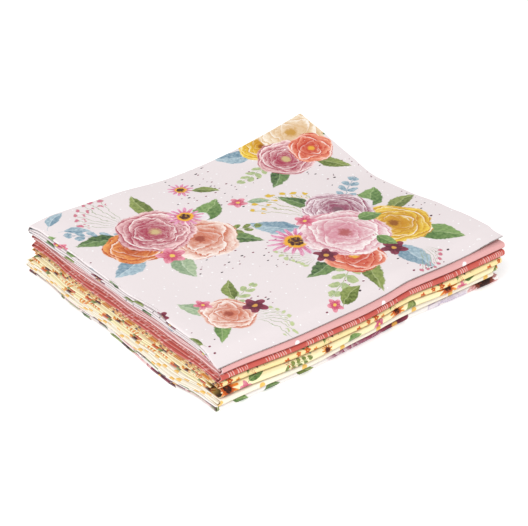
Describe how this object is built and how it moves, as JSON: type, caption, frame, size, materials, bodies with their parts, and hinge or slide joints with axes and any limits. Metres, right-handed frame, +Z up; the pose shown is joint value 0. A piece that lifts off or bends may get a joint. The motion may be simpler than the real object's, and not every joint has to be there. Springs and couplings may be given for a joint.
{
  "type": "one-yard fabric bundle",
  "caption": "Stack of one-yard cuts of printed quilting cotton, each folded into a flat rectangle, with the top cuts curling up at a corner.",
  "frame": {"origin": "on the surface the stack lies on, under the middle of its bounding box", "axes": "+X along the long folded edges, +Y along the short ones from the front to the back, +Z up through the stack"},
  "size_m": [0.2842, 0.245, 0.0522],
  "materials": {
    "large_floral_cotton": "plain-woven quilting cotton, matte, white ground with large plum and pink petals and green leaves",
    "golden_spot_cotton": "plain-woven quilting cotton, matte, white ground with golden-yellow spots",
    "sunflower_cotton": "plain-woven quilting cotton, matte, pale yellow ground with orange flowers and green leaves",
    "sprig_cotton": "plain-woven quilting cotton, matte, cream-yellow ground with small orange-red flowers and sprigs",
    "coral_dash_cotton": "plain-woven quilting cotton, matte, coral red ground with groups of short pale dashes",
    "pink_spot_cotton": "plain-woven quilting cotton, matte, light pink ground with small white spots far apart",
    "garden_floral_cotton": "plain-woven quilting cotton, matte, pale lilac-pink ground with posies of garden flowers and leaves"
  },
  "bodies": {
    "root": {"cut_1_large_floral": "large_floral_cotton", "cut_2_golden_spot": "golden_spot_cotton", "cut_3_sunflower": "sunflower_cotton", "cut_4_sprig": "sprig_cotton", "cut_5_coral_dash": "coral_dash_cotton", "cut_6_pink_spot": "pink_spot_cotton", "cut_7_garden_floral": "garden_floral_cotton"}
  },
  "joints": []
}
